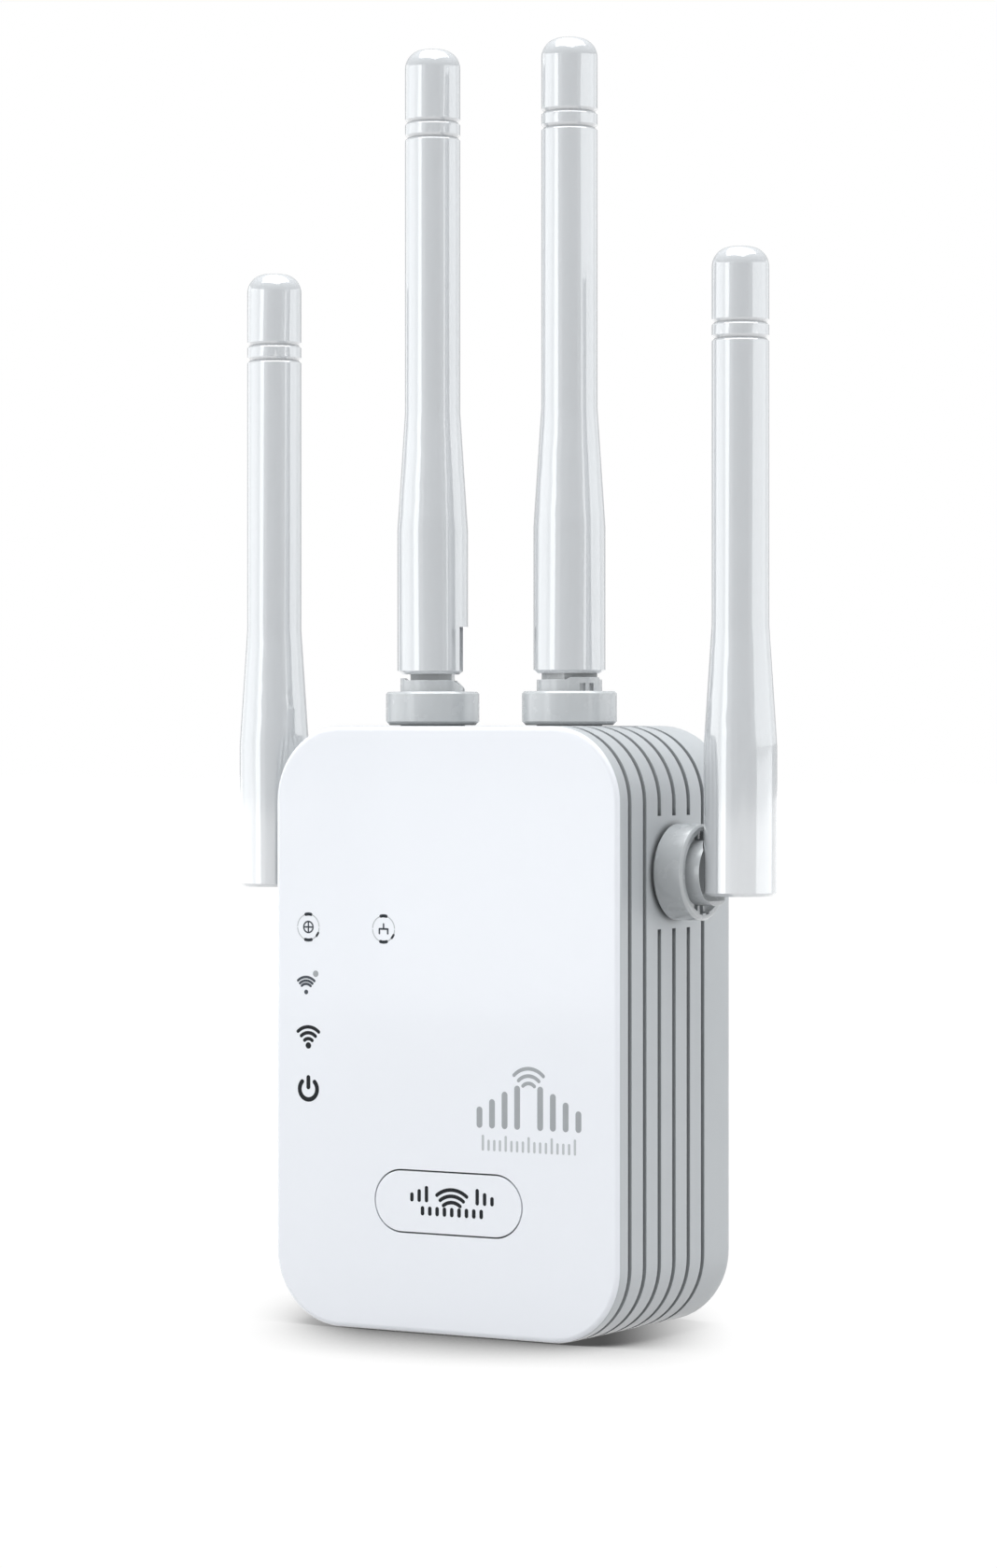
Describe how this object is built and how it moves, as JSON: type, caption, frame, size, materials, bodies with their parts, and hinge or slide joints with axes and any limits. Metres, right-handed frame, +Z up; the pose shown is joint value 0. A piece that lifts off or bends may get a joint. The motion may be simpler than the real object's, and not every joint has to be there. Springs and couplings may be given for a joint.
{
  "type": "wifi range extender",
  "caption": "Plug-in wireless range extender: rounded case with grooved sides, folding and swivelling rod antennas, pill-shaped button, network jacks below and a mains plug behind.",
  "frame": {"origin": "centre of the case's bottom face", "axes": "+X to the right seen from the front, +Y from the front face towards the wall, +Z up"},
  "size_m": [0.0948, 0.055, 0.197],
  "materials": {
    "glossy_white": "high gloss white ABS",
    "satin_grey_white": "satin grey-white ABS",
    "antenna_white": "semi-gloss white elastomer over plastic",
    "black_plastic": "moulded black nylon",
    "clear_plastic": "clear acrylic",
    "light_chip": "yellowish phosphor chip",
    "green_board": "green solder mask on glass-epoxy",
    "tan_board": "phenolic paper board",
    "zinc_steel": "zinc-plated steel",
    "black_chip": "moulded epoxy package",
    "tinned_can": "tin-plated sheet steel",
    "soft_pad": "silicone thermal pad",
    "gold_contact": "gold-flashed phosphor bronze",
    "cable_jacket": "thin black cable jacket",
    "ferrite": "sintered ferrite",
    "copper_wire": "enamelled copper wire under tape",
    "capacitor_sleeve": "shrink sleeve",
    "resistor_body": "coated resistor body",
    "blue_ceramic": "dipped ceramic disc",
    "nickel_plated_brass": "nickel-plated brass",
    "spring_brass": "spring brass",
    "label_film": "blank satin film"
  },
  "bodies": {
    "housing": {"front_cover": "glossy_white", "rear_housing": "satin_grey_white", "push_switch": "black_plastic", "light_guide": "clear_plastic", "status_lights": "light_chip", "main_board": "green_board", "main_board_screws": "zinc_steel", "processor": "black_chip", "radio_chips": "black_chip", "memory_chip": "black_chip", "crystal": "tinned_can", "shielding_can": "tinned_can", "thermal_pad": "soft_pad", "wan_jack": "black_plastic", "wan_jack_contacts": "gold_contact", "lan_jack": "black_plastic", "lan_jack_contacts": "gold_contact", "network_transformer": "black_chip", "top_coax_cables": "cable_jacket", "side_coax_cables": "cable_jacket", "board_link_header": "black_plastic", "power_board": "tan_board", "power_board_screws": "zinc_steel", "transformer_core": "ferrite", "transformer_bobbin": "black_plastic", "transformer_winding": "copper_wire", "input_capacitors": "capacitor_sleeve", "output_capacitors": "capacitor_sleeve", "bridge_rectifier": "black_chip", "power_controller": "black_chip", "fuse_resistor": "resistor_body", "safety_capacitor": "blue_ceramic", "output_diode": "black_chip", "plug_pins": "nickel_plated_brass", "plug_pin_sleeves": "black_plastic", "plug_contacts": "spring_brass", "rating_label": "label_film"},
    "button": {"wps_button": "glossy_white", "switch_plunger": "black_plastic"},
    "top_left_swivel": {"top_left_knuckle": "satin_grey_white", "top_left_retaining_clip": "zinc_steel", "top_left_hinge_pins": "zinc_steel"},
    "top_left_antenna": {"top_left_sleeve": "antenna_white", "top_left_radiator": "spring_brass"},
    "top_right_swivel": {"top_right_knuckle": "satin_grey_white", "top_right_retaining_clip": "zinc_steel", "top_right_hinge_pins": "zinc_steel"},
    "top_right_antenna": {"top_right_sleeve": "antenna_white", "top_right_radiator": "spring_brass"},
    "side_left_swivel": {"side_left_knuckle": "satin_grey_white", "side_left_retaining_clip": "zinc_steel", "side_left_hinge_pins": "zinc_steel"},
    "side_left_antenna": {"side_left_sleeve": "antenna_white", "side_left_radiator": "spring_brass"},
    "side_right_swivel": {"side_right_knuckle": "satin_grey_white", "side_right_retaining_clip": "zinc_steel", "side_right_hinge_pins": "zinc_steel"},
    "side_right_antenna": {"side_right_sleeve": "antenna_white", "side_right_radiator": "spring_brass"}
  },
  "joints": [
    {"name": "button_press", "type": "slide", "parent": "housing", "child": "button", "axis": [0, 1, 0], "range_m": [0, 0.0005], "stiffness_N_per_m": 600},
    {"name": "top_left_swivel_turn", "type": "hinge", "parent": "housing", "child": "top_left_swivel", "pos_m": [-0.0123, -0.0013, 0.092], "axis": [0, 0, 1], "range_deg": [-90, 90]},
    {"name": "top_left_fold", "type": "hinge", "parent": "top_left_swivel", "child": "top_left_antenna", "pos_m": [-0.0123, -0.0013, 0.1034], "axis": [-0.454, 0.891, 0], "range_deg": [0, 90]},
    {"name": "top_right_swivel_turn", "type": "hinge", "parent": "housing", "child": "top_right_swivel", "pos_m": [0.0123, -0.0013, 0.092], "axis": [0, 0, 1], "range_deg": [-90, 90]},
    {"name": "top_right_fold", "type": "hinge", "parent": "top_right_swivel", "child": "top_right_antenna", "pos_m": [0.0123, -0.0013, 0.1034], "axis": [-0.454, -0.891, 0], "range_deg": [0, 90]},
    {"name": "side_left_swivel_turn", "type": "hinge", "parent": "housing", "child": "side_left_swivel", "pos_m": [-0.0305, -0.0013, 0.07], "axis": [-1, 0, 0], "range_deg": [-90, 90]},
    {"name": "side_left_fold", "type": "hinge", "parent": "side_left_swivel", "child": "side_left_antenna", "pos_m": [-0.0419, -0.0013, 0.07], "axis": [0, -1, 0], "range_deg": [0, 90]},
    {"name": "side_right_swivel_turn", "type": "hinge", "parent": "housing", "child": "side_right_swivel", "pos_m": [0.0305, -0.0013, 0.07], "axis": [1, 0, 0], "range_deg": [-90, 90]},
    {"name": "side_right_fold", "type": "hinge", "parent": "side_right_swivel", "child": "side_right_antenna", "pos_m": [0.0419, -0.0013, 0.07], "axis": [0, 1, 0], "range_deg": [0, 90]}
  ]
}
